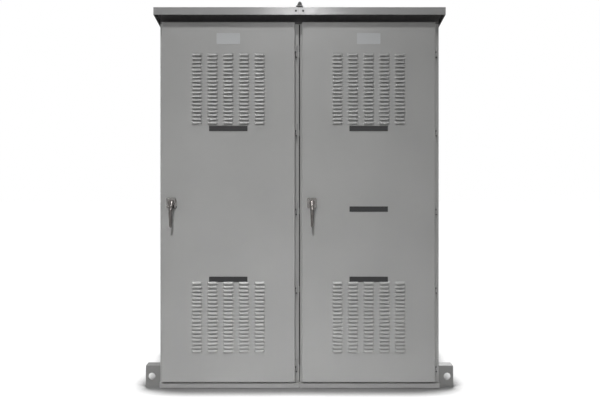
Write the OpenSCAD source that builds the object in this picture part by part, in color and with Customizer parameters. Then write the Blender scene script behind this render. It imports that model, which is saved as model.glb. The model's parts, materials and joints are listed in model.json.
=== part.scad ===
// Two-bay outdoor switchgear cabinet with louvred doors, a rear-falling roof and a lifting base.
// Millimetres. +Z up, the doors face -Y, and the origin is on the ground under the cabinet's centre.

/* [Cabinet] */
// Width of one bay, seam to side
bay_w = 914; // [860:1:1000]
// Depth between the front and rear faces
body_d = 914; // [800:1:1200]
// Height of the roof's front edge above the ground
front_h = 2470; // [2300:1:2600]
// Width of the open seam between the bays at the front
seam_w = 6; // [3:0.5:8]
// Thickness of the folded body sheet
sheet_t = 2.5; // [2:0.1:3]
// Working clearance between pieces that are fitted together
fit_gap = 0.3; // [0.2:0.05:0.5]

/* [Roof] */
// Fall of the roof towards the rear, in degrees
roof_pitch = 9; // [6:0.1:10]
// Overhang past the front and rear faces
roof_reach = 105; // [100:1:140]
// Overhang past each side
roof_side = 24; // [15:0.5:40]
// Depth of the turned-down edge
roof_edge = 48; // [40:1:50]
// Width of the strip over the joint of the two roof halves
splice_w = 64; // [56:1:80]
// Height of that strip above the roof
splice_h = 14; // [10:1:20]

/* [Base] */
// Height of the two base channels
channel_h = 140; // [120:1:160]
// Width of the channel flanges
channel_flange = 80; // [60:1:100]
// Thickness of the channel plate
channel_t = 6.4; // [5:0.1:8]
// Length of each channel end that stands out of the side
lug_reach = 96; // [80:1:110]
// Diameter of the lifting hole in each channel end
lug_hole_d = 46; // [40:1:56]
// Distance of the lifting hole's middle from the channel's end
lug_hole_inset = 40; // [36:1:44]
// Diameter of the anchor bolt holes in the bottom flanges
anchor_d = 18; // [14:1:22]
// Distance of the anchor bolts from the cabinet's sides
anchor_inset = 150; // [130:1:200]

/* [Doors] */
// Height of the door's lower edge
door_z = 43; // [38:1:60]
// Distance of the door's upper edge below the roof's front edge
door_head = 80; // [70:1:100]
// Depth of the door's folded edge
door_depth = 38; // [36:1:42]
// Thickness of the door sheet
door_t = 2.5; // [2:0.1:3]
// Outer radius of the door's folds
door_fold_r = 5; // [4:0.5:8]
// Space between the door and the bay's edge on the latch side
latch_margin = 16.5; // [14:0.5:20]
// Space between the door and the bay's edge on the hinge side
hinge_margin = 30; // [28:0.5:36]
// Gap between the door's folded edge and the frame
door_gap = 3; // [2:0.5:5]
// How far the door laps over the opening
lap = 30; // [24:1:32]
// Height of the rain lip round the opening
lip_reach = 24; // [18:1:26]
// Width of the door gasket
gasket_w = 14; // [10:1:14]

/* [Louvres] */
// Length of one louvre
louvre_len = 70; // [60:1:76]
// Height of one louvre's hood
louvre_rise = 16; // [13:0.5:17]
// How far the hood stands out of the sheet
louvre_out = 9.5; // [7:0.5:11]
// Wall of the hood
louvre_t = 1.6; // [1.2:0.1:2]
// Column spacing
louvre_pitch_x = 102; // [92:1:106]
// Row spacing
louvre_pitch_z = 24.6; // [22:0.1:25.4]
// Columns in one field of louvres
louvre_cols = 5; // [3:1:5]
// Rows in one field of louvres
louvre_rows = 19; // [10:1:19]
// Distance of the middle of the upper field below the door's upper edge
upper_field_drop = 434; // [400:1:480]
// Height of the middle of the lower field above the door's lower edge
lower_field_rise = 427; // [390:1:470]

/* [Hinges] */
// Hinges on each door
hinge_count = 5; // [3:1:5]
// Height of the lowest hinge's middle above the door's lower edge
hinge_first = 106; // [80:1:120]
// Distance of the highest hinge's middle below the door's upper edge
hinge_last = 189; // [160:1:220]
// Length of one hinge
hinge_len = 76; // [64:1:90]
// Diameter of the hinge barrel
barrel_d = 14; // [13:0.5:15]
// Diameter of the hinge pin
hinge_pin_d = 8; // [7:0.5:9]
// Thickness of the hinge leaves
leaf_t = 3; // [2.5:0.5:4]

/* [Latch] */
// Distance of the handle's spindle from the door's latch edge
handle_inset = 65; // [65:1:80]
// Height of the spindle above the ground
handle_z = 1212; // [1150:1:1260]
// Length of the lever below the spindle
lever_len = 158; // [140:1:190]
// Diameter of the spindle
spindle_d = 16; // [14:1:18]
// Diameter of the latch rods
rod_d = 12; // [10:1:14]
// Radius of the rod pins on the latch cam
cam_r = 22; // [20:1:22]
// Space left between the rod tips, or the cam's tongue, and the frame that they catch behind
catch_gap = 1.5; // [1:0.5:4]

/* [Equipment] */
// Distance of the mounting pans in front of the rear face
pan_back = 120; // [110:1:160]
// Distance of the pans' upper edge below the roof's front edge
pan_head = 420; // [400:1:450]
// Width of a breaker
breaker_w = 420; // [380:1:460]
// Height of a breaker
breaker_h = 480; // [440:1:520]
// Depth of a breaker
breaker_d = 260; // [220:1:280]
// Distance of the upper breaker's middle below the pans' upper edge
upper_breaker_drop = 490; // [450:1:550]
// Height of the lower breaker's middle
lower_breaker_z = 640; // [600:1:700]
// Width of a voltage transformer
vt_w = 150; // [130:1:170]
// Distance of the middle of the upper row of transformers below the pans' upper edge
upper_vt_drop = 410; // [350:1:490]
// Height of the middle of the lower row of transformers
lower_vt_z = 1180; // [1120:1:1240]
// Height of the middle of the earth-fault relay
relay_z = 660; // [600:1:720]

/* [Hidden] */
$fn = 48;
body_w = 2 * bay_w;
y_front = -body_d / 2;
y_rear = body_d / 2;
eave_y = y_front - roof_reach;
door_w = bay_w - latch_margin - hinge_margin;
door_top = front_h - door_head;
door_h = door_top - door_z;
hinge_pitch = (door_h - hinge_first - hinge_last) / (hinge_count - 1);
door_back = y_front - door_gap;
door_face = door_back - door_depth;
door_inner = door_face + door_t;
open_x0 = latch_margin + lap;
open_x1 = bay_w - hinge_margin - lap;
open_z0 = door_z + lap;
open_z1 = door_top - lap;
post_d = 45;
floor_z = channel_h;
floor_t = 3;
bolt_d = 10;
bolt_head_h = 6;
pan_y = y_rear - pan_back;
pan_t = 3;
grey = [0.6, 0.6, 0.59];
bays = [0, 1];

// Height of the roof's upper face at a depth y
function roof_top(y) = front_h - (y - eave_y) * tan(roof_pitch);
// Height of the roof's lower face at a depth y
function roof_under(y) = roof_top(y) - sheet_t / cos(roof_pitch);
// Left edge of a bay, 0 for the left one and 1 for the right one
function bay_x(bay) = (bay - 1) * bay_w;
// Heights of the middles of the hinges
function hinge_heights() = [for (i = [0 : hinge_count - 1]) door_z + hinge_first + i * hinge_pitch];

// A box given by its two corners
module slab(low, high) {
    translate(low) cube(high - low);
}

// A profile drawn in Y and Z, run along X from x0
module along_x(x0, length) {
    translate([x0, 0, 0]) rotate([90, 0, 90]) linear_extrude(length) children();
}

// A profile drawn in X and Z, run along Y from y0
module along_y(y0, length) {
    translate([0, y0 + length, 0]) rotate([90, 0, 0]) linear_extrude(length) children();
}

// A round bar along Y from y0
module bar_y(x, z, y0, length, d) {
    translate([x, y0, z]) rotate([-90, 0, 0]) cylinder(d = d, h = length);
}

// A hexagon head along Y from y0
module hex_y(x, z, y0, length, across) {
    translate([x, y0, z]) rotate([-90, 0, 0]) cylinder(d = across / cos(30), h = length, $fn = 6);
}

// Everything lower than the roof's lower face by gap
module under_roof(gap) {
    reach = roof_reach * 2;
    along_x(-body_w, 2 * body_w) polygon([
        [y_front - reach, -1], [y_rear + reach, -1],
        [y_rear + reach, roof_under(y_rear + reach) - gap],
        [y_front - reach, roof_under(y_front - reach) - gap]
    ]);
}

// Base: two channels right through the cabinet, joined by cross rails

channel_y = y_front + sheet_t + fit_gap;
anchor_x = body_w / 2 - anchor_inset;
anchor_y = channel_y + channel_flange / 2;

module channel_section() {
    difference() {
        slab_2d(0, 0, channel_flange, channel_h);
        slab_2d(channel_t, channel_t, channel_flange, channel_h - 2 * channel_t);
    }
}

module slab_2d(x, y, w, h) {
    translate([x, y]) square([w, h]);
}

module base_channel() {
    length = body_w + 2 * lug_reach;
    color("dimgray") difference() {
        translate([0, channel_y, 0]) along_x(-length / 2, length) channel_section();
        for (side = [-1, 1]) {
            hole_x = length / 2 - lug_hole_inset;
            bar_y(side * hole_x, channel_h / 2, channel_y - 1, channel_t + 2, lug_hole_d);
            translate([side * anchor_x, anchor_y, -1]) cylinder(d = anchor_d, h = channel_t + 2);
        }
    }
}

module base_rear_channel() {
    mirror([0, 1, 0]) base_channel();
}

module base_cross_rails() {
    y0 = channel_y + channel_flange + fit_gap;
    rail_w = 60;
    outer_x = body_w / 2 - sheet_t - fit_gap;
    color("dimgray") for (x = [-outer_x, -rail_w / 2, outer_x - rail_w])
        translate([x, 0, 0]) difference() {
            slab([0, y0, 0], [rail_w, -y0, channel_h]);
            slab([channel_t, y0 - 1, channel_t], [rail_w - channel_t, -y0 + 1, channel_h - channel_t]);
        }
}

// Body: floor, sides, partition, front frame and rear

cable_entry = [520, 260];
side_inner = body_w / 2 - sheet_t;
partition_t = 2;

module floor_plate(bay) {
    x0 = bay == 0 ? -side_inner + fit_gap : partition_t / 2 + fit_gap;
    x1 = bay == 0 ? -partition_t / 2 - fit_gap : side_inner - fit_gap;
    y0 = y_front + post_d + fit_gap;
    y1 = rear_flange_y - post_d - fit_gap;
    entry_y = y1 - 150 - cable_entry[1];
    color("silver") difference() {
        slab([x0, y0, floor_z], [x1, y1, floor_z + floor_t]);
        translate([(x0 + x1 - cable_entry[0]) / 2, entry_y, floor_z - 1])
            cube([cable_entry[0], cable_entry[1], floor_t + 2]);
    }
}

rear_flange_y = y_rear - sheet_t - fit_gap;
rear_flange_w = 45;

module side_panel_at_right() {
    x1 = body_w / 2;
    y0 = y_front + sheet_t + fit_gap;
    color(grey) difference() {
        intersection() {
            union() {
                slab([x1 - sheet_t, y0, 0], [x1, rear_flange_y, front_h]);
                slab([x1 - rear_flange_w, rear_flange_y - sheet_t, 0], [x1, rear_flange_y, front_h]);
            }
            under_roof(fit_gap);
        }
        for (end = [0, 1]) mirror([0, end, 0])
            slab([x1 - rear_flange_w - 1, y_front - 1, -1],
                 [x1 + 1, channel_y + channel_flange + fit_gap, channel_h]);
    }
}

module left_side_panel() {
    mirror([1, 0, 0]) side_panel_at_right();
}

eye_depth = 70;
partition_drop = 48;
earth_bar_h = 50;
earth_bar_t = 8;
earth_bar_y = pan_y - 20;
earth_bar_rise = 40;
earth_bar_z = floor_z + floor_t + earth_bar_rise;

module bay_partition() {
    y0 = y_front + post_d + 2 * fit_gap;
    y1 = rear_flange_y - post_d - fit_gap;
    notch = 20;
    color("silver") difference() {
        intersection() {
            slab([-partition_t / 2, y0, channel_h], [partition_t / 2, y1, front_h]);
            under_roof(partition_drop);
        }
        slab([-partition_t, earth_bar_y - earth_bar_t - notch, earth_bar_z - notch],
             [partition_t, earth_bar_y + notch, earth_bar_z + earth_bar_h + notch]);
    }
}

// A front post: side web, front strip and rain lip, folded from one sheet. The web lies at x = 0.
module post_section(strip_w) {
    polygon([
        [0, 0], [0, post_d], [sheet_t, post_d], [sheet_t, sheet_t], [strip_w, sheet_t],
        [strip_w, -lip_reach], [strip_w - sheet_t, -lip_reach], [strip_w - sheet_t, 0]
    ]);
}

module front_post(strip_w) {
    difference() {
        translate([0, y_front, 0]) linear_extrude(front_h) post_section(strip_w);
        slab([-1, channel_y - fit_gap, -1], [strip_w + 1, y_front + post_d + 1, channel_h]);
        slab([sheet_t - strip_w, y_front - lip_reach - 1, -1], [strip_w + 1, y_front, open_z0 - sheet_t]);
        slab([sheet_t - strip_w, y_front - lip_reach - 1, open_z1 + sheet_t],
             [strip_w + 1, y_front, front_h + 1]);
    }
}

// The webs of the outer posts stand inside the side panels, and those at the seam leave half the seam each
function web_inset(outer) = outer ? sheet_t + fit_gap : seam_w / 2;

module bay_post(bay, hinge_side) {
    outer = (bay == 0) != hinge_side;
    inset = web_inset(outer);
    strip = (hinge_side ? hinge_margin : latch_margin) + lap;
    x = bay_x(bay) + (hinge_side ? bay_w : 0);
    flip = hinge_side ? 1 : 0;
    color(grey) intersection() {
        translate([x, 0, 0]) mirror([flip, 0, 0]) union() {
            translate([inset, 0, 0]) front_post(strip - inset);
            if (outer) slab([0, y_front, 0], [inset + sheet_t / 2, y_front + sheet_t, front_h]);
        }
        under_roof(fit_gap);
    }
}

module header(bay) {
    x0 = bay_x(bay) + open_x0 + fit_gap;
    color(grey) intersection() {
        along_x(x0, open_x1 - open_x0 - 2 * fit_gap) translate([y_front, 0]) polygon([
            [-lip_reach, open_z1], [sheet_t, open_z1], [sheet_t, front_h], [0, front_h],
            [0, open_z1 + sheet_t], [-lip_reach, open_z1 + sheet_t]
        ]);
        under_roof(fit_gap);
    }
}

module sill(bay) {
    x0 = bay_x(bay) + open_x0 + fit_gap;
    color(grey) along_x(x0, open_x1 - open_x0 - 2 * fit_gap) translate([y_front, 0]) polygon([
        [-lip_reach, open_z0], [sheet_t, open_z0], [sheet_t, 0], [0, 0],
        [0, open_z0 - sheet_t], [-lip_reach, open_z0 - sheet_t]
    ]);
}

rail_top_gap = 25;
rear_rail_h = 70;
cover_bottom = 30;
cover_top = roof_under(y_rear) - rail_top_gap;
cover_margin = 6;

module rear_centre_post() {
    color(grey) intersection() {
        translate([0, rear_flange_y, channel_h]) linear_extrude(front_h) union() {
            translate([-rear_flange_w, -sheet_t]) square([2 * rear_flange_w, sheet_t]);
            translate([-sheet_t / 2, -post_d]) square([sheet_t, post_d]);
        }
        under_roof(fit_gap);
    }
}

module rear_top_rail() {
    for (bay = bays) {
        inset = rear_flange_w + fit_gap;
        color(grey) intersection() {
            slab([bay_x(bay) + inset, rear_flange_y - sheet_t, cover_top - rear_rail_h],
                 [bay_x(bay) + bay_w - inset, rear_flange_y, front_h]);
            under_roof(fit_gap);
        }
    }
}

module rear_cover(bay) {
    x0 = bay_x(bay) + cover_margin;
    x1 = bay_x(bay) + bay_w - cover_margin;
    color(grey) difference() {
        slab([x0, y_rear - sheet_t, cover_bottom], [x1, y_rear, cover_top]);
        for (p = cover_bolt_places(bay))
            bar_y(p[0], p[1], y_rear - sheet_t - 1, sheet_t + 2, bolt_d + 2 * fit_gap);
    }
}

// Bolts along both edges of a rear cover
function cover_bolt_places(bay) =
    let (edge = rear_flange_w / 2, rows = 6, z0 = channel_h + 80, z1 = cover_top - rear_rail_h / 2)
    [for (x = [edge, bay_w - edge], i = [0 : rows - 1]) [bay_x(bay) + x, z0 + i * (z1 - z0) / (rows - 1)]];

module rear_cover_bolts() {
    color("gainsboro") for (bay = bays, p = cover_bolt_places(bay)) {
        hex_y(p[0], p[1], y_rear, bolt_head_h, bolt_d * 1.7);
        bar_y(p[0], p[1], y_rear - sheet_t, sheet_t, bolt_d);
    }
}

// Roof: two halves that fall to the rear, a strip over their joint, and lifting eyes

roof_len = body_d + 2 * roof_reach;
eye_places = [y_front + eye_depth, y_rear - eye_depth];
eye_shank_d = 24;

// Side view of the roof sheet with its turned-down front and rear edges
module roof_section() {
    y1 = eave_y + roof_len;
    polygon([
        [eave_y, roof_top(eave_y)], [y1, roof_top(y1)], [y1, roof_top(y1) - roof_edge],
        [y1 - sheet_t, roof_top(y1) - roof_edge], [y1 - sheet_t, roof_under(y1 - sheet_t)],
        [eave_y + sheet_t, roof_under(eave_y + sheet_t)], [eave_y + sheet_t, front_h - roof_edge],
        [eave_y, front_h - roof_edge]
    ]);
}

// Side view of the turned-down side edge
module roof_cheek() {
    y1 = eave_y + roof_len;
    polygon([
        [eave_y, roof_top(eave_y)], [y1, roof_top(y1)], [y1, roof_top(y1) - roof_edge],
        [eave_y, front_h - roof_edge]
    ]);
}

module right_roof() {
    seam = 1;
    width = body_w / 2 + roof_side;
    color(grey) difference() {
        union() {
            along_x(seam, width - seam) roof_section();
            along_x(width - sheet_t, sheet_t) roof_cheek();
        }
        for (y = eye_places) translate([0, y, 0]) cylinder(d = eye_shank_d + 1, h = 2 * front_h);
        bar_y(splice_screw_x, splice_screw_z, eave_y - 1, sheet_t + 2, splice_screw_d + 2 * fit_gap);
    }
}

module left_roof() {
    mirror([1, 0, 0]) right_roof();
}

splice_screw_d = 8;
splice_screw_x = 23;
splice_screw_z = front_h - roof_edge / 2;
splice_foot_w = 20;

// A hat-shaped strip over the joint, with a tab behind the front edge that takes two screws
module roof_splice() {
    y0 = eave_y + 2 * sheet_t;
    y1 = eave_y + roof_len - 2 * sheet_t;
    lift = fit_gap / cos(roof_pitch);
    half_crown = splice_w / 2 - splice_foot_w / 2;
    tab_y = eave_y + sheet_t + fit_gap;
    color(grey) difference() {
        union() {
            along_x(-splice_w / 2, splice_w) sloped_strip(y0, y1, lift, lift + sheet_t);
            along_x(-half_crown, 2 * half_crown) sloped_strip(y0, y1, lift, splice_h);
            slab([-splice_w / 2, tab_y, front_h - roof_edge + 4],
                 [splice_w / 2, tab_y + sheet_t, roof_under(tab_y + sheet_t) - fit_gap]);
        }
        along_x(-half_crown + sheet_t, 2 * (half_crown - sheet_t))
            sloped_strip(y0 - 1, y1 + 1, lift - 1, splice_h - sheet_t);
        for (y = eye_places) translate([0, y, 0]) cylinder(d = eye_shank_d + 1, h = 2 * front_h);
        for (side = [-1, 1])
            bar_y(side * splice_screw_x, splice_screw_z, tab_y - 1, sheet_t + 2,
                  splice_screw_d + 2 * fit_gap);
    }
}

// Side view of a strip that lies on the roof between two heights above it
module sloped_strip(y0, y1, low, high) {
    polygon([
        [y0, roof_top(y0) + low], [y1, roof_top(y1) + low],
        [y1, roof_top(y1) + high], [y0, roof_top(y0) + high]
    ]);
}

module roof_screws() {
    head = 5;
    color("gray") for (side = [-1, 1]) {
        hex_y(side * splice_screw_x, splice_screw_z, eave_y - head, head, splice_screw_d * 1.6);
        bar_y(side * splice_screw_x, splice_screw_z, eave_y, 2 * sheet_t + fit_gap, splice_screw_d);
    }
}

eye_ring_d = 90;
eye_wire_d = 20;

// Eye bolts stand upright in the strip, each with a foot cut to the roof's fall and a nut below the roof
module lifting_eyes() {
    ring_r = (eye_ring_d - eye_wire_d) / 2;
    ring_foot = eye_wire_d / 2 + 2;
    collar_d = 36;
    collar_h = 5;
    nut_h = 20;
    yaw = 12;
    color([0.12, 0.12, 0.12]) for (y = eye_places) {
        seat = roof_top(y) + splice_h;
        nut_top = roof_under(y) - collar_d / 2 * tan(roof_pitch) - fit_gap;
        translate([0, y, 0]) {
            difference() {
                translate([0, 0, seat - collar_h]) cylinder(d = collar_d, h = 2 * collar_h);
                translate([0, -y, 0]) along_x(-collar_d, 2 * collar_d)
                    sloped_strip(y - collar_d, y + collar_d, -4 * collar_h, splice_h + fit_gap);
            }
            translate([0, 0, nut_top - nut_h]) cylinder(d = eye_shank_d, h = seat + ring_foot - nut_top + nut_h);
            translate([0, 0, nut_top - nut_h]) cylinder(d = eye_shank_d * 1.7, h = nut_h, $fn = 6);
            translate([0, 0, seat + ring_foot + ring_r]) rotate([0, 0, yaw]) rotate([0, 90, 0])
                rotate_extrude() translate([ring_r, 0]) circle(d = eye_wire_d);
        }
    }
}

// Doors: folded pans with two fields of louvres each

// Section of the pan's outside, inset on three sides, with its two front corners rounded.
// The face is at y = 0.
module pan_profile(width, depth, inset, r) {
    union() {
        slab_2d(inset + r, inset, width - 2 * (inset + r), depth - inset);
        slab_2d(inset, inset + r, width - 2 * inset, depth - inset - r);
        for (x = [inset + r, width - inset - r]) translate([x, inset + r]) circle(r);
    }
}

// The pan as a block, rounded along all four front edges
module pan_block(inset, depth) {
    r = door_fold_r - inset;
    intersection() {
        linear_extrude(door_h) pan_profile(door_w, depth, inset, r);
        translate([door_w, 0, 0]) rotate([0, -90, 0]) linear_extrude(door_w)
            pan_profile(door_h, depth, inset, r);
    }
}

louvre_side = 12;
// The hood is part of a round whose axis lies behind the sheet, level with the hood's lower edge
louvre_axis = (louvre_rise * louvre_rise - louvre_out * louvre_out) / (2 * louvre_out);
louvre_r = louvre_axis + louvre_out;
field_h = (louvre_rows - 1) * louvre_pitch_z + louvre_rise;
field_x0 = door_w / 2 - (louvre_cols - 1) * louvre_pitch_x / 2;
strip_edge = 3;

// Lower edge of a row of louvres, from the foot of its field
function row_z(row) = row * louvre_pitch_z;
// Feet of the two fields of louvres, from the door's lower edge
field_feet = [door_h - upper_field_drop - field_h / 2, lower_field_rise - field_h / 2];

// Side view of one hood in front of the middle of the sheet
module hood_profile(r, drop, back) {
    intersection() {
        translate([louvre_axis, 0]) circle(r);
        slab_2d(-louvre_out - 1, -drop, louvre_out + 1 + back, louvre_rise + 4);
    }
}

// Plan of a hood, with its ends sloping in towards the front
module hood_plan(wall, back) {
    half = louvre_len / 2 - wall;
    polygon([
        [-half, back], [-half, 0], [louvre_side - half, -louvre_out - 1],
        [half - louvre_side, -louvre_out - 1],
        [half, 0], [half, back]
    ]);
}

// One column of louvres with its strip of door sheet
module louvre_column() {
    drop = 1;
    difference() {
        intersection() {
            along_x(-louvre_len / 2, louvre_len) union() {
                slab_2d(0, -strip_edge, door_t, field_h + 2 * strip_edge);
                for (row = [0 : louvre_rows - 1])
                    translate([0, row_z(row)]) hood_profile(louvre_r, 0, door_t / 2);
            }
            translate([0, 0, -2 * strip_edge]) linear_extrude(field_h + 4 * strip_edge) hood_plan(0, door_t);
        }
        for (row = [0 : louvre_rows - 1]) translate([0, 0, row_z(row)]) intersection() {
            along_x(-louvre_len / 2, louvre_len) hood_profile(louvre_r - louvre_t, drop, 2 * door_t);
            translate([0, 0, -2 * drop]) linear_extrude(2 * louvre_rise) hood_plan(louvre_t, 2 * door_t);
        }
    }
}

module door_sheet() {
    color(grey) union() {
        difference() {
            pan_block(0, door_depth);
            pan_block(door_t, door_depth + 1);
            for (foot = field_feet, col = [0 : louvre_cols - 1])
                translate([field_x0 + col * louvre_pitch_x, 0, foot])
                    slab([-louvre_len / 2, -1, -strip_edge],
                         [louvre_len / 2, door_t + 1, field_h + strip_edge]);
            bar_y(handle_inset, handle_z - door_z, -1, door_t + 2, spindle_d + 4);
        }
        for (foot = field_feet, col = [0 : louvre_cols - 1])
            translate([field_x0 + col * louvre_pitch_x, 0, foot]) louvre_column();
    }
}

module door(bay) {
    translate([bay_x(bay) + latch_margin, door_face, door_z]) door_sheet();
}

// Moves a piece drawn from the door's lower left front corner to its place on a bay's door
module on_door(bay) {
    translate([bay_x(bay) + latch_margin, door_face, door_z]) children();
}

gasket_t = door_gap + door_depth - door_t - lip_reach - fit_gap;

module door_gasket(bay) {
    outer = lap - gasket_w / 2;
    inner = lap + gasket_w / 2;
    color([0.1, 0.1, 0.1]) on_door(bay) difference() {
        slab([outer, door_t, outer], [door_w - outer, door_t + gasket_t, door_h - outer]);
        slab([inner, door_t - 1, inner], [door_w - inner, door_t + gasket_t + 1, door_h - inner]);
    }
}

filter_edge = 14;
filter_t = 20;

// A filter tray behind each field of louvres: a frame with a recessed pad
module filters(bay) {
    half = (louvre_cols - 1) * louvre_pitch_x / 2 + louvre_len / 2 + filter_edge;
    pad_drop = 6;
    color([0.75, 0.76, 0.74]) on_door(bay) for (foot = field_feet)
        translate([door_w / 2, door_t, foot]) difference() {
            slab([-half, 0, -filter_edge], [half, filter_t, field_h + filter_edge]);
            slab([filter_edge - half, filter_t - pad_drop, 0], [half - filter_edge, filter_t + 1, field_h]);
        }
}

// Hinges: the lower half of each barrel is on the frame and holds the pin, the upper half is on the door

hinge_x = bay_w - hinge_margin + barrel_d / 2 + 2;
hinge_y = y_front - barrel_d / 2 - leaf_t;
knuckle_gap = 0.5;
pin_gap = 0.05;

module hinge_frame_leaves() {
    leaf_w = hinge_margin - barrel_d / 2 - 4;
    color("gray") for (bay = bays, z = hinge_heights())
        translate([bay_x(bay) + hinge_x, 0, z - hinge_len / 2])
        difference() {
            union() {
                translate([0, hinge_y, 0]) cylinder(d = barrel_d, h = hinge_len / 2 - knuckle_gap);
                slab([0, hinge_y, 0], [barrel_d / 2, y_front, hinge_len / 2 - knuckle_gap]);
                slab([0, y_front - leaf_t, 0], [leaf_w, y_front, hinge_len / 2 - knuckle_gap]);
            }
            translate([0, hinge_y, -1]) cylinder(d = hinge_pin_d, h = hinge_len);
        }
}

module hinge_pins() {
    color("silver") for (bay = bays, z = hinge_heights())
        translate([bay_x(bay) + hinge_x, hinge_y, z - hinge_len / 2])
            cylinder(d = hinge_pin_d, h = hinge_len - 8);
}

module hinge_door_leaves(bay) {
    edge_x = bay_w - hinge_margin;
    color("gray") for (z = hinge_heights()) translate([bay_x(bay), 0, z]) difference() {
        union() {
            translate([hinge_x, hinge_y, 0]) cylinder(d = barrel_d, h = hinge_len / 2);
            slab([edge_x, door_face + door_fold_r, 0],
                 [edge_x + leaf_t, hinge_y + barrel_d / 4, hinge_len / 2]);
            slab([edge_x, hinge_y - leaf_t / 2, 0], [hinge_x, hinge_y + leaf_t / 2, hinge_len / 2]);
        }
        translate([hinge_x, hinge_y, -1]) cylinder(d = hinge_pin_d + 2 * pin_gap, h = hinge_len / 2 - 2);
    }
}

// Latch: a lever handle outside, and a cam with two rods inside

base_t = 10;
base_w = 64;
base_h = 66;
cam_t = 6;
cam_y = y_front + sheet_t + 4;
cam_pin_d = 8;
rod_y = cam_y + cam_t + 1 + rod_d / 2;
rod_off = cam_r * 0.854;
yoke_t = 8;
pin_rise = cam_r * sin(45);

// Moves a piece drawn round the spindle to its place in a bay
module at_spindle(bay) {
    translate([bay_x(bay) + latch_margin + handle_inset, 0, handle_z]) children();
}

// A plate with rounded corners, run along Y from y0
module rounded_plate(w, h, r, y0, t) {
    along_y(y0, t) union() {
        translate([r - w / 2, -h / 2]) square([w - 2 * r, h]);
        translate([-w / 2, r - h / 2]) square([w, h - 2 * r]);
        for (x = [-1, 1], z = [-1, 1]) translate([x * (w / 2 - r), z * (h / 2 - r)]) circle(r);
    }
}

hasp_x = 25;
hasp_out = 13;
hasp_hole_d = 8;
hub_d = 38;
hub_out = 30;

module handle_base(bay) {
    color("gainsboro") at_spindle(bay) difference() {
        union() {
            rounded_plate(base_w, base_h, 9, door_face - base_t, base_t);
            slab([hasp_x - 3, door_face - base_t - hasp_out, 0],
                 [hasp_x + 3, door_face - base_t / 2, base_h / 2 - 6]);
        }
        bar_y(0, 0, door_face - base_t - 1, base_t + 2, spindle_d + 2 * fit_gap);
        translate([hasp_x - 4, door_face - base_t - hasp_out / 2, base_h / 4 - 3]) rotate([0, 90, 0])
            cylinder(d = hasp_hole_d, h = 8);
    }
}

// The lever is cranked clear of the door and hangs down from the hub
module handle(bay) {
    y0 = door_face - base_t - fit_gap;
    grip_y = y0 - hub_out - 6;
    color("gainsboro") at_spindle(bay) difference() {
        union() {
            bar_y(0, 0, y0 - hub_out, hub_out, hub_d);
            hull() {
                bar_y(0, 0, y0 - hub_out, 14, hub_d * 0.76);
                translate([0, grip_y, -lever_len * 0.35]) sphere(d = 23, $fn = 32);
            }
            hull() {
                translate([0, grip_y, -lever_len * 0.35]) sphere(d = 23, $fn = 32);
                translate([0, grip_y + 4, 8 - lever_len]) sphere(d = 16, $fn = 32);
            }
        }
        bar_y(0, 0, y0 - hub_out / 2, hub_out, spindle_d);
    }
}

module latch_cam(bay) {
    tongue = handle_inset - lap - catch_gap;
    y0 = door_face - base_t - hub_out / 2;
    color("silver") at_spindle(bay) union() {
        bar_y(0, 0, y0, cam_y - y0, spindle_d);
        bar_y(0, 0, cam_y, cam_t, 40);
        rotate([0, 45, 0]) slab([-cam_r - 7, cam_y, -10], [cam_r + 7, cam_y + cam_t, 10]);
        slab([-tongue, cam_y, -12], [0, cam_y + cam_t, 12]);
        bar_y(-pin_rise, pin_rise, cam_y + cam_t, yoke_t + 5, cam_pin_d);
        bar_y(pin_rise, -pin_rise, cam_y + cam_t, yoke_t + 5, cam_pin_d);
    }
}

// A rod that points up from its yoke, drawn with the yoke's middle at the origin
module latch_rod(length) {
    slot_w = cam_pin_d + 2 * (rod_off - pin_rise) + 3;
    slot_h = cam_pin_d + 4;
    color("silver") difference() {
        union() {
            translate([0, rod_y, slot_h / 2 + 2]) cylinder(d = rod_d, h = length - slot_h / 2 - 2);
            slab([-slot_w / 2 - 6, rod_y - rod_d / 2, -slot_h / 2 - 6],
                 [slot_w / 2 + 6, rod_y - rod_d / 2 + yoke_t, slot_h / 2 + 8]);
        }
        slab([-slot_w / 2, rod_y - rod_d, -slot_h / 2],
             [slot_w / 2, rod_y - rod_d / 2 + yoke_t + 1, slot_h / 2]);
    }
}

module upper_rod(bay) {
    at_spindle(bay) translate([-rod_off, 0, pin_rise]) latch_rod(open_z1 - catch_gap - handle_z - pin_rise);
}

module lower_rod(bay) {
    at_spindle(bay) translate([rod_off, 0, -pin_rise]) mirror([0, 0, 1])
        latch_rod(handle_z - pin_rise - channel_h - catch_gap);
}

guide_t = 6;
guide_w = 30;

module rod_guide(x, z) {
    near = rod_d / 2 + 2.5;
    difference() {
        union() {
            slab([x - near, door_inner, z], [x + guide_w - near, rod_y + rod_d / 2 + 8, z + guide_t]);
            slab([x - near, door_inner, z - 18], [x + guide_w - near, door_inner + 4, z + guide_t + 18]);
        }
        translate([x, rod_y, z - 1]) cylinder(d = rod_d + 2 * fit_gap, h = guide_t + 2);
    }
}

module rod_guides(bay) {
    color("gray") at_spindle(bay) {
        for (z = [280, open_z1 - handle_z - 80]) rod_guide(-rod_off, z);
        for (z = [-280, channel_h - handle_z + 70]) rod_guide(rod_off, z);
    }
}

// Equipment inside: pans on brackets, two breakers, transformers, a relay and copper bars

pan_w = bay_w - 160;
pan_z0 = 330;
pan_z1 = front_h - pan_head;
upper_breaker_z = pan_z1 - upper_breaker_drop;
upper_vt_z = pan_z1 - upper_vt_drop;
pan_fold = 25;

function bay_mid(bay) = bay_x(bay) + bay_w / 2;

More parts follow.
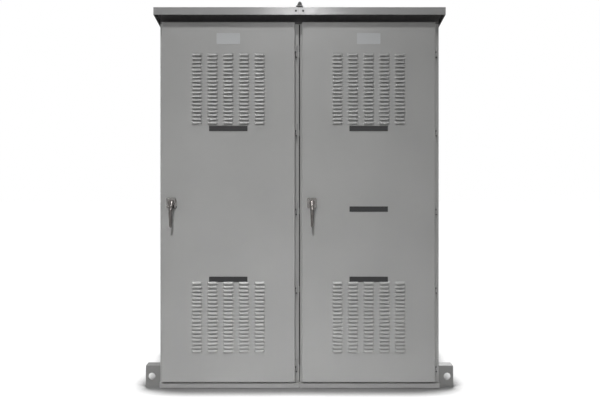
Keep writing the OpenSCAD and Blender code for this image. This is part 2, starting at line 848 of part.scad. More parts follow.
module mounting_pan(bay) {
    color("white") difference() {
        slab([bay_mid(bay) - pan_w / 2, pan_y, pan_z0], [bay_mid(bay) + pan_w / 2, pan_y + pan_fold, pan_z1]);
        slab([bay_mid(bay) - pan_w / 2 + pan_t, pan_y + pan_t, pan_z0 + pan_t],
             [bay_mid(bay) + pan_w / 2 - pan_t, pan_y + pan_fold + 1, pan_z1 - pan_t]);
    }
}

bracket_low = 150;
bracket_high = 220;
bracket_h = 70;
bracket_w = 60;
bracket_t = 4;

// Angle brackets from the side panels and the partition to the pans' folded edges
module pan_brackets() {
    y0 = pan_y + bracket_t;
    color("gray") for (bay = bays, z = [pan_z0 + bracket_low, pan_z1 - bracket_high]) {
        wall_left = bay == 0 ? sheet_t : partition_t / 2;
        wall_right = bay == 0 ? partition_t / 2 : sheet_t;
        x0 = bay_x(bay) + wall_left;
        x1 = bay_x(bay) + bay_w - wall_right;
        slab([x0, y0, z], [x0 + bracket_t, y0 + bracket_w, z + bracket_h]);
        slab([x0, y0, z], [bay_mid(bay) - pan_w / 2, y0 + bracket_t, z + bracket_h]);
        slab([x1 - bracket_t, y0, z], [x1, y0 + bracket_w, z + bracket_h]);
        slab([bay_mid(bay) + pan_w / 2, y0, z], [x1, y0 + bracket_t, z + bracket_h]);
    }
}

lug_places = [-breaker_w * 0.31, 0, breaker_w * 0.31];
toggle_d = 40;
toggle_in = 28;
trunnion_d = 12;
trunnion_len = 84;

// A stepped moulded case with a raised front, a toggle slot and vents, drawn round the middle of its back
module breaker(z) {
    front_d = 45;
    slot = [60, 130];
    color([0.16, 0.17, 0.18]) translate([bay_mid(0), pan_y, z]) difference() {
        union() {
            slab([-breaker_w / 2, front_d - breaker_d, -breaker_h / 2], [breaker_w / 2, 0, breaker_h / 2]);
            slab([-breaker_w * 0.4, -breaker_d, -breaker_h * 0.3],
                 [breaker_w * 0.4, front_d - breaker_d + 1, breaker_h * 0.3]);
        }
        slab([-slot[0] / 2, -breaker_d - 1, -slot[1] / 2], [slot[0] / 2, 60 - breaker_d, slot[1] / 2]);
        translate([-trunnion_len / 2 - 1, toggle_in - breaker_d, 0]) rotate([0, 90, 0])
            cylinder(d = trunnion_d + 2 * pin_gap, h = trunnion_len + 2);
        for (x = lug_places, end = [-1, 1]) translate([x, 0, end * breaker_h / 2])
            slab([-40, -breaker_d, -50], [40, -60, 50]);
        for (i = [-3 : 3]) translate([i * breaker_w * 0.11, front_d - breaker_d, breaker_h * 0.36])
            slab([-8, -1, -6], [8, 10, 6]);
    }
}

// The toggle turns on a trunnion along X inside the case
module breaker_toggle(z) {
    color([0.1, 0.1, 0.1]) translate([bay_mid(0), pan_y - breaker_d + toggle_in, z]) union() {
        translate([-trunnion_len / 2, 0, 0]) rotate([0, 90, 0]) cylinder(d = trunnion_d, h = trunnion_len);
        translate([-28, 0, 0]) rotate([0, 90, 0]) cylinder(d = toggle_d, h = 56);
        slab([-14, -toggle_d / 2 - 62, -9], [14, 0, 9]);
    }
}

// Three flat bars join the lower lugs of the upper breaker to the upper lugs of the lower one
module phase_bus_bars() {
    bar_w = 60;
    bar_t = 10;
    seat = 50;
    color([0.72, 0.45, 0.2]) for (x = lug_places)
        slab([bay_mid(0) + x - bar_w / 2, pan_y - 60 - bar_t, lower_breaker_z + breaker_h / 2 - seat],
             [bay_mid(0) + x + bar_w / 2, pan_y - 60, upper_breaker_z - breaker_h / 2 + seat]);
}

// Six cast blocks in two rows, each with a waisted core window and two terminals
module voltage_transformers() {
    vt_h = 170;
    vt_d = 190;
    pitch = vt_w + 50;
    color([0.35, 0.14, 0.1]) for (z = [upper_vt_z, lower_vt_z], i = [-1 : 1])
        translate([bay_mid(1) + i * pitch, pan_y, z]) difference() {
            union() {
                slab([-vt_w / 2, -vt_d, -vt_h / 2], [vt_w / 2, 0, vt_h / 2]);
                for (x = [-1, 1]) translate([x * vt_w * 0.28, -vt_d / 2, vt_h / 2]) {
                    cylinder(d = 44, h = 40);
                    cylinder(d = 16, h = 58);
                }
            }
            for (x = [-1, 1]) slab([x * vt_w / 2 - 12, -vt_d - 1, -vt_h / 2 + 40],
                                   [x * vt_w / 2 + 12, -vt_d + 40, vt_h / 2 - 40]);
        }
}

relay_w = 240;
relay_h = 300;
relay_d = 130;
relay_rim = 20;
relay_cover_t = 12;
relay_window = [160, 90];
relay_key_d = 26;
relay_key_pitch = 50;

// A case with a raised cover, a sunk window and three round keys below it
module earth_fault_relay() {
    cut = 5;
    face = -relay_d - relay_cover_t;
    cover_w = relay_w / 2 - relay_rim;
    cover_h = relay_h / 2 - relay_rim;
    color([0.2, 0.21, 0.22]) translate([bay_mid(1), pan_y, relay_z]) difference() {
        union() {
            slab([-relay_w / 2, -relay_d, -relay_h / 2], [relay_w / 2, 0, relay_h / 2]);
            slab([-cover_w, face, -cover_h], [cover_w, 1 - relay_d, cover_h]);
        }
        slab([-relay_window[0] / 2, face - 1, cover_h - relay_rim - relay_window[1]],
             [relay_window[0] / 2, face + cut, cover_h - relay_rim]);
        for (i = [-1 : 1])
            bar_y(i * relay_key_pitch, relay_rim * 2 - cover_h, face - 1, cut + 1, relay_key_d);
    }
}

earth_bar_inset = 40;
foot_inset = 60;
foot_mid = 140;
foot_w = 50;
foot_reach = 50;
foot_t = 8;

// A copper bar right across both bays on four angled feet
module earth_bar() {
    x1 = side_inner - earth_bar_inset;
    stand_z = floor_z + floor_t;
    color([0.72, 0.45, 0.2]) union() {
        slab([-x1, earth_bar_y - earth_bar_t, earth_bar_z], [x1, earth_bar_y, earth_bar_z + earth_bar_h]);
        for (x = [foot_inset - x1, -foot_mid, foot_mid, x1 - foot_inset])
            translate([x - foot_w / 2, earth_bar_y - 1, 0]) {
            slab([0, 0, stand_z], [foot_w, foot_t + 2, earth_bar_z + earth_bar_h]);
            slab([0, 0, stand_z], [foot_w, foot_reach, stand_z + foot_t]);
        }
    }
}

base_channel();  // base_front_channel
base_rear_channel();
base_cross_rails();
floor_plate(0);  // left_floor_plate
floor_plate(1);  // right_floor_plate
left_side_panel();
side_panel_at_right();  // right_side_panel
bay_partition();
bay_post(0, false);  // left_latch_post
bay_post(0, true);  // left_hinge_post
bay_post(1, false);  // right_latch_post
bay_post(1, true);  // right_hinge_post
header(0);  // left_header
header(1);  // right_header
sill(0);  // left_sill
sill(1);  // right_sill
rear_centre_post();
rear_top_rail();
rear_cover(0);  // left_rear_cover
rear_cover(1);  // right_rear_cover
rear_cover_bolts();
left_roof();
right_roof();
roof_splice();
roof_screws();
lifting_eyes();
hinge_frame_leaves();
hinge_pins();
door(0);  // left_door
door_gasket(0);  // left_door_gasket
filters(0);  // left_filters
hinge_door_leaves(0);  // left_hinge_door_leaves
handle_base(0);  // left_handle_base
rod_guides(0);  // left_rod_guides
handle(0);  // left_handle
latch_cam(0);  // left_latch_cam
upper_rod(0);  // left_upper_rod
lower_rod(0);  // left_lower_rod
door(1);  // right_door
door_gasket(1);  // right_door_gasket
filters(1);  // right_filters
hinge_door_leaves(1);  // right_hinge_door_leaves
handle_base(1);  // right_handle_base
rod_guides(1);  // right_rod_guides
handle(1);  // right_handle
latch_cam(1);  // right_latch_cam
upper_rod(1);  // right_upper_rod
lower_rod(1);  // right_lower_rod
mounting_pan(0);  // left_mounting_pan
mounting_pan(1);  // right_mounting_pan
pan_brackets();
breaker(upper_breaker_z);  // upper_breaker
breaker_toggle(upper_breaker_z);  // upper_breaker_toggle
breaker(lower_breaker_z);  // lower_breaker
breaker_toggle(lower_breaker_z);  // lower_breaker_toggle
voltage_transformers();
earth_fault_relay();
phase_bus_bars();
earth_bar();
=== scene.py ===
import json
import math
import bmesh
import bpy
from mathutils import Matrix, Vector


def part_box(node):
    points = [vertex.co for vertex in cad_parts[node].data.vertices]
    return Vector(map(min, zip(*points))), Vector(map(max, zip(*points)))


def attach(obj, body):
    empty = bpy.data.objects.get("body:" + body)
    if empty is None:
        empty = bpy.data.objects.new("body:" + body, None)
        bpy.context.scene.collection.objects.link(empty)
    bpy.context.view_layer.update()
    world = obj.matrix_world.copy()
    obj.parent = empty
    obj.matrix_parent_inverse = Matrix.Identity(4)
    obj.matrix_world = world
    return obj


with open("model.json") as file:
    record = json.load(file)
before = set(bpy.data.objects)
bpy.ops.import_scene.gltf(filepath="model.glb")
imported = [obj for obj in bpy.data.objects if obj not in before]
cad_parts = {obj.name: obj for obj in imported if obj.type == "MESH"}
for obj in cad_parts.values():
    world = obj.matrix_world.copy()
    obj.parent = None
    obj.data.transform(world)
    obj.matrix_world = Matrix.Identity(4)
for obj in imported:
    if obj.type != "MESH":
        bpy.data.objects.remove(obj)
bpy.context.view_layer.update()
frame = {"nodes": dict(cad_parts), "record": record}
nodes = frame["nodes"]
scene = bpy.context.scene

# Places read from the CAD, in metres: the doors' boxes start at the louvres, and the posts stand a little
# in front of the side panels
left_low, left_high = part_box("left_door")
right_low, right_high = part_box("right_door")
louvre_out = 0.0095
post_step = 0.0028
door_face = left_low[1] + louvre_out
frame_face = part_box("left_side_panel")[0][1] - post_step
body_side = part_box("right_side_panel")[1][0]
end_painted_shade_edge = 0.001
door_mid = {"left": (left_low[0] + left_high[0]) / 2, "right": (right_low[0] + right_high[0]) / 2}
door_body = {"left": "left_door_leaf", "right": "right_door_leaf"}


# Materials

def linear(code):
    """An sRGB hex colour as linear RGBA."""
    out = []
    for i in (0, 2, 4):
        c = int(code[i:i + 2], 16) / 255
        out.append(c / 12.92 if c <= 0.04045 else ((c + 0.055) / 1.055) ** 2.4)
    return (*out, 1.0)


def add(tree, kind, values=None, links=None, **settings):
    """Adds a shader node, sets its options and socket values, and links its inputs."""
    node = tree.nodes.new(kind)
    for name, value in settings.items():
        setattr(node, name, value)
    for name, value in (values or {}).items():
        node.inputs[name].default_value = value
    for name, source in (links or {}).items():
        tree.links.new(source, node.inputs[name])
    return node


def begin(name):
    """A new material with its tree, its surface shader and coordinates fixed to the piece, in metres."""
    material = bpy.data.materials.new(name)
    material.use_nodes = True
    tree = material.node_tree
    coords = add(tree, "ShaderNodeTexCoord").outputs["Object"]
    return material, tree, tree.nodes["Principled BSDF"], coords


def finish_coat(tree, shader, colour, roughness, normal):
    """Links a colour, a roughness and a normal to the surface shader."""
    tree.links.new(colour, shader.inputs["Base Color"])
    tree.links.new(roughness, shader.inputs["Roughness"])
    tree.links.new(normal, shader.inputs["Normal"])


def coated_steel(name, dark, light, rough, underside_painted_shade=None, end_painted_shade=None):
    """Sheet steel, sprayed and baked: an even colour with faint clouding 420 mm across, a sheen that varies
    every 90 mm, and orange peel 2.2 mm across that softens reflections. The roof's faces that look down or
    inwards are a darker grey, painted shade, and so are the channel's ends beyond the body."""
    material, tree, shader, coords = begin(name)
    cloud = add(tree, "ShaderNodeTexNoise", {"Scale": 1000 / 420, "Detail": 3}, {"Vector": coords})
    colour = add(tree, "ShaderNodeMix", {"A": linear(dark), "B": linear(light)},
                 {"Factor": cloud.outputs["Fac"]}, data_type="RGBA").outputs["Result"]
    place = add(tree, "ShaderNodeSeparateXYZ", links={"Vector": coords}).outputs
    painted_shade_mask = None
    # Painted shade: a darker grey on the roof's faces that look down or inwards, where the roof is in shade
    if underside_painted_shade:
        normal = add(tree, "ShaderNodeNewGeometry").outputs["True Normal"]
        facing = add(tree, "ShaderNodeSeparateXYZ", links={"Vector": normal}).outputs
        below = add(tree, "ShaderNodeMath", {1: -0.4}, {0: facing["Z"]}, operation="LESS_THAN")
        inward = add(tree, "ShaderNodeMath", links={0: facing["X"], 1: place["X"]}, operation="MULTIPLY")
        inside = add(tree, "ShaderNodeMath", {1: -0.4}, {0: inward.outputs["Value"]}, operation="LESS_THAN")
        painted_shade_mask = add(tree, "ShaderNodeMath", links={0: below.outputs["Value"], 1: inside.outputs["Value"]},
                     operation="MAXIMUM").outputs["Value"]
    # Painted shade: a darker grey on the channel's ends beyond the body
    if end_painted_shade:
        away = add(tree, "ShaderNodeMath", links={0: place["X"]}, operation="ABSOLUTE")
        painted_shade_mask = add(tree, "ShaderNodeMath", {1: body_side + end_painted_shade_edge}, {0: away.outputs["Value"]},
                     operation="GREATER_THAN").outputs["Value"]
    if painted_shade_mask:
        colour = add(tree, "ShaderNodeMix", {"B": linear(underside_painted_shade or end_painted_shade)},
                     {"Factor": painted_shade_mask, "A": colour}, data_type="RGBA").outputs["Result"]
    sheen = add(tree, "ShaderNodeTexNoise", {"Scale": 1000 / 90, "Detail": 2}, {"Vector": coords})
    gloss = add(tree, "ShaderNodeMath", {1: 0.12, 2: rough - 0.06}, {0: sheen.outputs["Fac"]},
                operation="MULTIPLY_ADD")
    peel = add(tree, "ShaderNodeTexNoise", {"Scale": 1000 / 2.2, "Detail": 1}, {"Vector": coords})
    relief = add(tree, "ShaderNodeBump", {"Strength": 0.1, "Distance": 0.00002},
                 {"Height": peel.outputs["Fac"]})
    finish_coat(tree, shader, colour, gloss.outputs["Value"], relief.outputs["Normal"])
    return material


def rolled_metal(name, dark, light, rough, grain_mm):
    """Plated sheet or drawn bar: bright metal with fine rolling lines along its height and a bloom
    60 mm across."""
    material, tree, shader, coords = begin(name)
    drawn = add(tree, "ShaderNodeMapping", {"Scale": (1.0, 1.0, 0.06)}, {"Vector": coords})
    grain = add(tree, "ShaderNodeTexNoise", {"Scale": 1000 / grain_mm}, {"Vector": drawn.outputs["Vector"]})
    bloom = add(tree, "ShaderNodeTexNoise", {"Scale": 1000 / 60, "Detail": 3}, {"Vector": coords})
    colour = add(tree, "ShaderNodeMix", {"A": linear(dark), "B": linear(light)},
                 {"Factor": bloom.outputs["Fac"]}, data_type="RGBA")
    gloss = add(tree, "ShaderNodeMath", {1: 0.28, 2: rough - 0.14}, {0: grain.outputs["Fac"]},
                operation="MULTIPLY_ADD")
    relief = add(tree, "ShaderNodeBump", {"Strength": 0.3, "Distance": 0.000015},
                 {"Height": grain.outputs["Fac"]})
    finish_coat(tree, shader, colour.outputs["Result"], gloss.outputs["Value"], relief.outputs["Normal"])
    shader.inputs["Metallic"].default_value = 1.0
    return material


def chromed_casting(name, dark, light):
    """Zinc casting, polished and chromed, then weathered: a metal with smoky patches 22 mm across, and with
    glints that are broken by the buffing wheel's waves, 11 mm long, and by a haze 12 mm across. The waves
    are drawn coarser than real ones, so that they show."""
    material, tree, shader, coords = begin(name)
    smoke = add(tree, "ShaderNodeTexNoise", {"Scale": 1000 / 22, "Detail": 3}, {"Vector": coords})
    colour = add(tree, "ShaderNodeMix", {"A": linear(dark), "B": linear(light)},
                 {"Factor": smoke.outputs["Fac"]}, data_type="RGBA")
    haze = add(tree, "ShaderNodeTexNoise", {"Scale": 1000 / 12, "Detail": 3}, {"Vector": coords})
    gloss = add(tree, "ShaderNodeMath", {1: 0.16, 2: 0.04}, {0: haze.outputs["Fac"]},
                operation="MULTIPLY_ADD")
    wave = add(tree, "ShaderNodeTexNoise", {"Scale": 1000 / 11, "Detail": 2}, {"Vector": coords})
    relief = add(tree, "ShaderNodeBump", {"Strength": 0.5, "Distance": 0.0003},
                 {"Height": wave.outputs["Fac"]})
    finish_coat(tree, shader, colour.outputs["Result"], gloss.outputs["Value"], relief.outputs["Normal"])
    shader.inputs["Metallic"].default_value = 1.0
    return material


def dull_body(name, dark, light, rough, mottle_mm, grain_mm, depth_mm):
    """Rubber, lacquer, laminate, moulded plastic or cast resin, and the dark strip of painted shade under the
    roof: one deep colour with a soft mottle, and a fine grain from the mould, the die or the dust on it."""
    material, tree, shader, coords = begin(name)
    mottle = add(tree, "ShaderNodeTexNoise", {"Scale": 1000 / mottle_mm, "Detail": 3}, {"Vector": coords})
    colour = add(tree, "ShaderNodeMix", {"A": linear(dark), "B": linear(light)},
                 {"Factor": mottle.outputs["Fac"]}, data_type="RGBA")
    gloss = add(tree, "ShaderNodeMath", {1: 0.2, 2: rough - 0.1}, {0: mottle.outputs["Fac"]},
                operation="MULTIPLY_ADD")
    grain = add(tree, "ShaderNodeTexNoise", {"Scale": 1000 / grain_mm, "Detail": 2}, {"Vector": coords})
    relief = add(tree, "ShaderNodeBump", {"Strength": 0.4, "Distance": depth_mm / 1000},
                 {"Height": grain.outputs["Fac"]})
    finish_coat(tree, shader, colour.outputs["Result"], gloss.outputs["Value"], relief.outputs["Normal"])
    return material


def filter_fleece(name, dark, light):
    """Synthetic fleece, matted: pale fibres 3 mm apart with open pores, so it looks soft and drinks light.
    The fibres are drawn coarser than real ones, so that they show."""
    material, tree, shader, coords = begin(name)
    fibre = add(tree, "ShaderNodeTexNoise", {"Scale": 1000 / 3, "Detail": 5, "Roughness": 0.7},
                {"Vector": coords})
    colour = add(tree, "ShaderNodeMix", {"A": linear(dark), "B": linear(light)},
                 {"Factor": fibre.outputs["Fac"]}, data_type="RGBA")
    gloss = add(tree, "ShaderNodeMath", {1: 0.1, 2: 0.88}, {0: fibre.outputs["Fac"]},
                operation="MULTIPLY_ADD")
    relief = add(tree, "ShaderNodeBump", {"Strength": 0.8, "Distance": 0.0012},
                 {"Height": fibre.outputs["Fac"]})
    finish_coat(tree, shader, colour.outputs["Result"], gloss.outputs["Value"], relief.outputs["Normal"])
    return material


grey = coated_steel("powder_coated_sheet_steel", "A0A09F", "ADADAC", 0.38)
# The roof's darker faces below and the channel's darker ends are painted shade
roof_grey = coated_steel("powder_coated_roof_with_painted_shade_below", "929293", "9F9F9E", 0.22, underside_painted_shade="5E5C5D")
base_grey = coated_steel("painted_channel_with_painted_shade_at_its_ends", "A0A09F", "ADADAC", 0.42, end_painted_shade="828281")
pan_white = coated_steel("white_enamelled_pan", "D8D8D4", "EAEAE6", 0.3)
plate_pale = coated_steel("pale_enamelled_plate", "B2B4B5", "C0C2C3", 0.42)
zinc = rolled_metal("zinc_plated_rolled_steel", "A0A3A6", "CDCFD1", 0.34, 1.2)
copper = rolled_metal("drawn_copper_bar", "9C6248", "C48A6C", 0.32, 1.0)
chrome = chromed_casting("chromed_zinc_casting", "4E4C4B", "989694")
# The levers get a darker copy of the chrome: painted shade, standing for the dark surroundings they reflect
shaded_chrome = chromed_casting("chromed_lever_with_painted_shade", "1C1A19", "7C7876")
black = dull_body("black_lacquered_forging", "0C0C0D", "1F1F20", 0.42, 30, 1.5, 0.05)
rubber = dull_body("extruded_black_rubber", "121112", "272627", 0.75, 30, 0.8, 0.05)
# A dark grey strip under the roof's overhang: painted shade
shade_strip_paint = dull_body("dark_strip_of_painted_shade", "686667", "7E7C7D", 0.85, 30, 1.5, 0.08)
plate_black = dull_body("black_engraving_laminate", "101011", "1F1F21", 0.4, 140, 0.6, 0.03)
case_dark = dull_body("dark_moulded_case", "222426", "34373A", 0.5, 140, 0.9, 0.04)
resin = dull_body("cast_brown_resin", "431F18", "613026", 0.3, 140, 2.0, 0.04)
fleece = filter_fleece("matted_filter_fleece", "747771", "E6E8E2")

by_slot = {
    "grey_paint": grey, "base_paint": base_grey, "black_steel": black, "zinc_steel": zinc,
    "chromed_casting": chrome, "black_rubber": rubber, "filter_pad": fleece, "white_pan": pan_white,
    "dark_moulding": case_dark, "cast_resin": resin, "bus_copper": copper,
}
# The roof halves, their screws and the levers differ from the rest of their slots
special = {
    "left_roof": roof_grey, "right_roof": roof_grey, "roof_screws": black,
    "left_handle": shaded_chrome, "right_handle": shaded_chrome,
}
slot_of = {part["node"]: part["material_slot"] for part in frame["record"]["subparts"]}
for name, obj in nodes.items():
    obj.data.materials.clear()
    obj.data.materials.append(special.get(name) or by_slot[slot_of[name]])


# Folded edges: a small round on the sheet pieces, so that their edges catch the light as bends do
sheet_bend_mm = 1.2
channel_bend_mm = 2.0
plate_edge_mm = 0.4
bend_degrees = 50
plate_edge_degrees = 60


def soften(obj, width_mm, from_degrees):
    """Rounds the sharp edges of a piece by a modifier."""
    mod = obj.modifiers.new("bend", "BEVEL")
    mod.width = width_mm / 1000
    mod.segments = 2
    mod.limit_method = "ANGLE"
    mod.angle_limit = math.radians(from_degrees)
    mod.harden_normals = True


for name in ("left_roof", "right_roof", "left_handle_base", "right_handle_base"):
    soften(nodes[name], sheet_bend_mm, bend_degrees)
for name in ("base_front_channel", "base_rear_channel"):
    soften(nodes[name], channel_bend_mm, bend_degrees)


# Small pieces that the CAD leaves out

def piece(name, mesh, centre, material, body):
    """Makes an object of a mesh, places it, and lets it ride on a body."""
    data = bpy.data.meshes.new(name)
    mesh.to_mesh(data)
    mesh.free()
    data.materials.append(material)
    obj = bpy.data.objects.new(name, data)
    obj.location = centre
    scene.collection.objects.link(obj)
    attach(obj, body)
    return obj


def bar(name, centre, size, along, corner, material, body):
    """A plate, strip or folded cover: a rectangle with rounded corners, drawn out along axis 0, 1 or 2."""
    first, second = [axis for axis in range(3) if axis != along]
    corner_points = 5
    outline = []
    for step in range(4 * corner_points):
        quarter = step // corner_points
        angle = math.radians(90 * quarter + 90 / (corner_points - 1) * (step % corner_points))
        reach_first = (size[first] / 2 - corner) * (1, -1, -1, 1)[quarter]
        reach_second = (size[second] / 2 - corner) * (1, 1, -1, -1)[quarter]
        outline.append((reach_first + corner * math.cos(angle), reach_second + corner * math.sin(angle)))
    mesh = bmesh.new()
    rings = []
    for end in (-0.5, 0.5):
        ring = []
        for a, b in outline:
            place = [0.0, 0.0, 0.0]
            place[along] = end * size[along]
            place[first] = a
            place[second] = b
            ring.append(mesh.verts.new(place))
        rings.append(ring)
        mesh.faces.new(ring)
    for i in range(len(outline)):
        j = (i + 1) % len(outline)
        mesh.faces.new((rings[0][i], rings[0][j], rings[1][j], rings[1][i]))
    bmesh.ops.recalc_face_normals(mesh, faces=mesh.faces[:])
    obj = piece(name, mesh, centre, material, body)
    soften(obj, plate_edge_mm, plate_edge_degrees)
    return obj


# Half section of a fastener's head, as shares of its radius and height: a thin flange, then a dome
head_section = ((1.0, -0.25), (1.0, 0.12), (0.88, 0.24), (0.8, 0.5), (0.62, 0.76), (0.34, 0.94))


def head(name, centre, radius, height, facing, material, body):
    """A domed fastener head on a thin flange, turned about the direction it faces."""
    turn = Vector(facing).to_track_quat("Z", "Y").to_matrix()
    sides = 20
    mesh = bmesh.new()
    rings = []
    for share_r, share_h in head_section:
        ring = []
        for i in range(sides):
            angle = math.tau * i / sides
            reach = radius * share_r
            place = Vector((math.cos(angle) * reach, math.sin(angle) * reach, height * share_h))
            ring.append(mesh.verts.new(turn @ place))
        rings.append(ring)
    top = mesh.verts.new(turn @ Vector((0, 0, height)))
    mesh.faces.new(rings[0])
    for lower, upper in zip(rings, rings[1:]):
        for i in range(sides):
            j = (i + 1) % sides
            mesh.faces.new((lower[i], lower[j], upper[j], upper[i])).smooth = True
    for i in range(sides):
        mesh.faces.new((rings[-1][i], rings[-1][(i + 1) % sides], top)).smooth = True
    bmesh.ops.recalc_face_normals(mesh, faces=mesh.faces[:])
    return piece(name, mesh, centre, material, body)


# Bare plates on the doors, each held by rivets
front = (0, -1, 0)
plate_t = 0.0016
plate_y = door_face - plate_t / 2
rivet_y = door_face - plate_t
label_w = 0.250
label_h = 0.035
label_round = 0.002
label_heights = {"left": (1.696, 0.714), "right": (1.696, 1.171, 0.714)}
badge_w = 0.153
badge_h = 0.072
badge_round = 0.004
badge_z = 2.281
rivet_in = 0.0075
rivet_h = 0.0012
label_rivet_r = 0.0028
badge_rivet_r = 0.0026
for side, heights in label_heights.items():
    mid = door_mid[side]
    leaf = door_body[side]
    for i, z in enumerate(heights):
        bar(f"{side}_label_plate_{i}", (mid, plate_y, z), (label_w, plate_t, label_h), 1, label_round,
            plate_black, leaf)
        for end, letter in ((-1, "a"), (1, "b")):
            x = mid + end * (label_w / 2 - rivet_in)
            head(f"{side}_label_rivet_{i}_{letter}", (x, rivet_y, z), label_rivet_r, rivet_h, front, black,
                 leaf)
    bar(f"{side}_badge_plate", (mid, plate_y, badge_z), (badge_w, plate_t, badge_h), 1, badge_round,
        plate_pale, leaf)
    for i, (end_x, end_z) in enumerate(((-1, -1), (1, -1), (-1, 1), (1, 1))):
        x = mid + end_x * (badge_w / 2 - rivet_in)
        z = badge_z + end_z * (badge_h / 2 - rivet_in)
        head(f"{side}_badge_rivet_{i}", (x, rivet_y, z), badge_rivet_r, rivet_h, front, zinc,
             leaf)

# Two screws in each handle's base
base_t = 0.010
screw_in = 0.0105
screw_r = 0.0045
screw_h = 0.0022
for side, leaf in door_body.items():
    base_low, base_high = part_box(side + "_handle_base")
    for i, z in enumerate((base_low[2] + screw_in, base_high[2] - screw_in)):
        head(f"{side}_base_screw_{i}", (base_low[0] + screw_in, door_face - base_t, z), screw_r, screw_h,
             front, chrome, leaf)

# Each hinge shows a dark cap under its barrel, and below the joint of its halves a dark plate:
# painted shade, standing for the shadowed gap beside the barrel
hinge_half = 0.038
barrel_r = 0.007
hinges = 5
down = (0, 0, -1)
cap_r = 0.0048
cap_h = 0.0055
gap_shade_w = 0.005
gap_shade_t = 0.0016
gap_shade_h = 0.013
gap_shade_round = 0.002
gap_shade_left = 0.003
gap_shade_in = 0.0006
gap_shade_down = 0.0075
for side in door_body:
    leaf_low, leaf_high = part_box(side + "_hinge_door_leaves")
    hinge_step = (leaf_high[2] - leaf_low[2] - hinge_half) / (hinges - 1)
    x = leaf_high[0] - barrel_r
    for i in range(hinges):
        z = leaf_low[2] + i * hinge_step
        head(f"{side}_hinge_cap_{i}", (x, leaf_low[1] + barrel_r, z - hinge_half), cap_r, cap_h, down, black,
             "cabinet")
        # Painted shade: a dark plate where the gap beside the barrel lies in shadow
        bar(f"{side}_hinge_slot_{i}", (x - gap_shade_left, leaf_low[1] + gap_shade_in, z - gap_shade_down),
            (gap_shade_w, gap_shade_t, gap_shade_h), 1, gap_shade_round, black, "cabinet")

# A folded sill cover lies on the front channel below each door, with a dark gap above it
sill_out = 0.026
sill_foot = 0.002
sill_gap = 0.009
sill_clear = 0.0004
sill_round = 0.003
sill_head = left_low[2] - sill_gap
sill_z = (sill_head + sill_foot) / 2
seam_half = 0.003
for side, end in (("left", -1), ("right", 1)):
    x = end * (body_side + seam_half) / 2
    bar(f"{side}_sill_cover", (x, frame_face - sill_out / 2 - sill_clear, sill_z),
        (body_side - seam_half, sill_out, sill_head - sill_foot), 0, sill_round, grey, "cabinet")

# A dark strip of painted shade fills the space between the frame's head and the roof
shade_strip_lap = 0.006
shade_strip_below_head = 0.004
shade_strip_end = 0.001
shade_strip_round = 0.002
shade_strip_foot = left_high[2] - shade_strip_lap
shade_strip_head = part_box("left_header")[1][2] - shade_strip_below_head
shade_strip_w = -2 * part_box("left_latch_post")[0][0] - 2 * shade_strip_end
shade_strip_t = 0.006
bar("painted_shade_strip_under_roof", (0, frame_face - shade_strip_t / 2, (shade_strip_foot + shade_strip_head) / 2),
    (shade_strip_w, shade_strip_t, shade_strip_head - shade_strip_foot), 0, shade_strip_round, shade_strip_paint, "cabinet")

# A flat rubber seal covers the seam between the bays and laps a little over both posts
seam_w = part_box("right_latch_post")[0][0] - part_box("left_hinge_post")[1][0]
seal_above_channel = 0.002
seal_below_shade_strip = 0.006
seal_clear = 0.0002
seal_lap = 0.0009
seal_round = 0.0006
seal_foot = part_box("base_front_channel")[1][2] + seal_above_channel
seal_head = shade_strip_foot - seal_below_shade_strip
seal_t = 0.0016
bar("bay_seal_strip", (0, frame_face - seal_clear - seal_t / 2, (seal_foot + seal_head) / 2),
    (seam_w + 2 * seal_lap, seal_t, seal_head - seal_foot), 2, seal_round, rubber, "cabinet")

# Below it, a dark bead of sealant carries the seam down the front of the channel to the sill
bead_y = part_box("base_front_channel")[0][1]
bead_t = 0.0016
bead_share = 0.8
bar("bay_seal_bead", (0, bead_y - bead_t / 2, (sill_head + seal_foot) / 2),
    (seam_w * bead_share, bead_t, seal_foot - sill_head), 2, seal_round, rubber, "cabinet")


# Studio: pale floor, soft lamps, white surroundings and the photo's camera

def area(name, place, target, size, power, beam=180):
    """A soft rectangular lamp that faces a target, with a grid that can narrow its beam."""
    data = bpy.data.lights.new(name, "AREA")
    data.energy = power
    data.shape = "RECTANGLE"
    data.size = size[0]
    data.size_y = size[1]
    data.spread = math.radians(beam)
    obj = bpy.data.objects.new(name, data)
    scene.collection.objects.link(obj)
    obj.location = place
    obj.rotation_euler = (Vector(target) - Vector(place)).to_track_quat("-Z", "Y").to_euler()
    return obj


def seen_rays(tree):
    """1 for the rays that show the surroundings: the camera's, and those in metal and glass."""
    rays = add(tree, "ShaderNodeLightPath").outputs
    shown = add(tree, "ShaderNodeMath", links={0: rays["Is Camera Ray"], 1: rays["Is Glossy Ray"]},
                operation="MAXIMUM")
    return add(tree, "ShaderNodeMath", links={0: shown.outputs["Value"], 1: rays["Is Transmission Ray"]},
               operation="MAXIMUM").outputs["Value"]


# The floor is white where nothing is near, has a soft painted contact shadow where the cabinet stands
# on it, and keeps the cabinet's shadow
floor_half = 30
floor_drop = 0.0008
contact_reach = 0.24
glow_share = 0.8
floor_mesh = bmesh.new()
bmesh.ops.create_grid(floor_mesh, x_segments=1, y_segments=1, size=floor_half)
floor_data = bpy.data.meshes.new("studio_floor")
floor_mesh.to_mesh(floor_data)
floor_mesh.free()
floor = bpy.data.objects.new("studio_floor", floor_data)
floor.location = (0, 0, -floor_drop)
scene.collection.objects.link(floor)
floor_material, tree, shader, coords = begin("pale_studio_floor")
cloud = add(tree, "ShaderNodeTexNoise", {"Scale": 1000 / 900}, {"Vector": coords})
colour = add(tree, "ShaderNodeMix", {"A": linear("F0F0F0"), "B": linear("F8F8F8")},
             {"Factor": cloud.outputs["Fac"]}, data_type="RGBA")
tree.links.new(colour.outputs["Result"], shader.inputs["Base Color"])
shader.inputs["Roughness"].default_value = 0.9
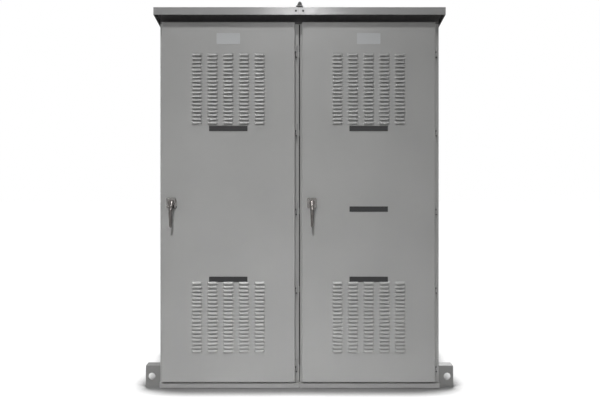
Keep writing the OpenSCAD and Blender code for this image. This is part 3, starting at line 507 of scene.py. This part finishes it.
# Painted contact shadow: the floor's glow dims where the cabinet is near
touch = add(tree, "ShaderNodeAmbientOcclusion", {"Distance": contact_reach}, samples=16)
painted_contact_shadow = add(tree, "ShaderNodeMapRange", {"From Min": 0.66, "From Max": 0.95, "To Min": 0.04, "To Max": 1.25},
          {"Value": touch.outputs["AO"]})
glow = add(tree, "ShaderNodeEmission", {"Color": (1, 1, 1, 1)}, {"Strength": painted_contact_shadow.outputs["Result"]})
share = add(tree, "ShaderNodeMath", {1: glow_share}, {0: seen_rays(tree)}, operation="MULTIPLY")
surface = add(tree, "ShaderNodeMixShader", links={0: share.outputs["Value"], 1: shader.outputs["BSDF"],
                                                  2: glow.outputs["Emission"]})
tree.links.new(surface.outputs["Shader"], tree.nodes["Material Output"].inputs["Surface"])
floor_data.materials.append(floor_material)

# The key and the overhead lamp light the doors and the tops of the louvres, and leave their slots dark
area("key_lamp", (-1.0, -7.4, 9.6), (-0.3, -0.9, 1.05), (0.7, 0.5), 21.2, 32)
area("overhead_lamp", (-0.2, -1.5, 7.5), (-0.2, -1.4, 0.0), (2.4, 0.5), 8.0, 28)
# Two small lamps show in the roof's front edge and as glints on the chromed levers
area("centre_lamp", (0.1, -5.0, 3.55), (0.0, -0.5, 3.4), (0.5, 0.3), 1.5, 40)
area("glint_lamp", (-0.1, -5.0, 3.4), (0.0, -0.5, 1.5), (0.3, 0.2), 11)
# A lamp at the left grazes the doors, and the fills keep the right side and the rear from going black
area("side_lamp", (-5.0, -1.35, 3.4), (-0.3, -0.5, 1.2), (0.4, 0.4), 46)
area("right_fill", (6.0, 1.6, 2.5), (0.9, 0.2, 1.2), (2.0, 2.0), 60)
area("rear_fill", (1.5, 6.0, 3.5), (0.0, 0.5, 1.2), (2.5, 2.0), 140)

world = bpy.data.worlds.new("white_studio")
scene.world = world
world.use_nodes = True
tree = world.node_tree
tree.nodes.clear()
ambient = add(tree, "ShaderNodeBackground", {"Color": (1, 1, 1, 1), "Strength": 0.06})
white = add(tree, "ShaderNodeBackground", {"Color": (1, 1, 1, 1), "Strength": 1.0})
mixed = add(tree, "ShaderNodeMixShader", links={0: seen_rays(tree), 1: ambient.outputs["Background"],
                                                2: white.outputs["Background"]})
add(tree, "ShaderNodeOutputWorld", links={"Surface": mixed.outputs["Shader"]})

# The camera is level, and the shift keeps the uprights parallel as in the photo, taken as 600 x 400
photo_w = 600
photo_h = 400
eye_height = 1.393
distance = 4.5
horizon_px = 175
focal_px = 685
sensor_mm = 36
shift_right = 0.0008
cam_data = bpy.data.cameras.new("photo_camera")
cam_data.sensor_width = sensor_mm
cam_data.lens = focal_px * sensor_mm / photo_w
cam_data.shift_y = (horizon_px - photo_h / 2) / photo_w
cam_data.shift_x = shift_right
cam_data.clip_end = 100
cam = bpy.data.objects.new("photo_camera", cam_data)
scene.collection.objects.link(cam)
cam.location = (0.0, frame_face - distance, eye_height)
cam.rotation_euler = (math.radians(90), 0, 0)
scene.camera = cam
scene.view_settings.view_transform = "Standard"
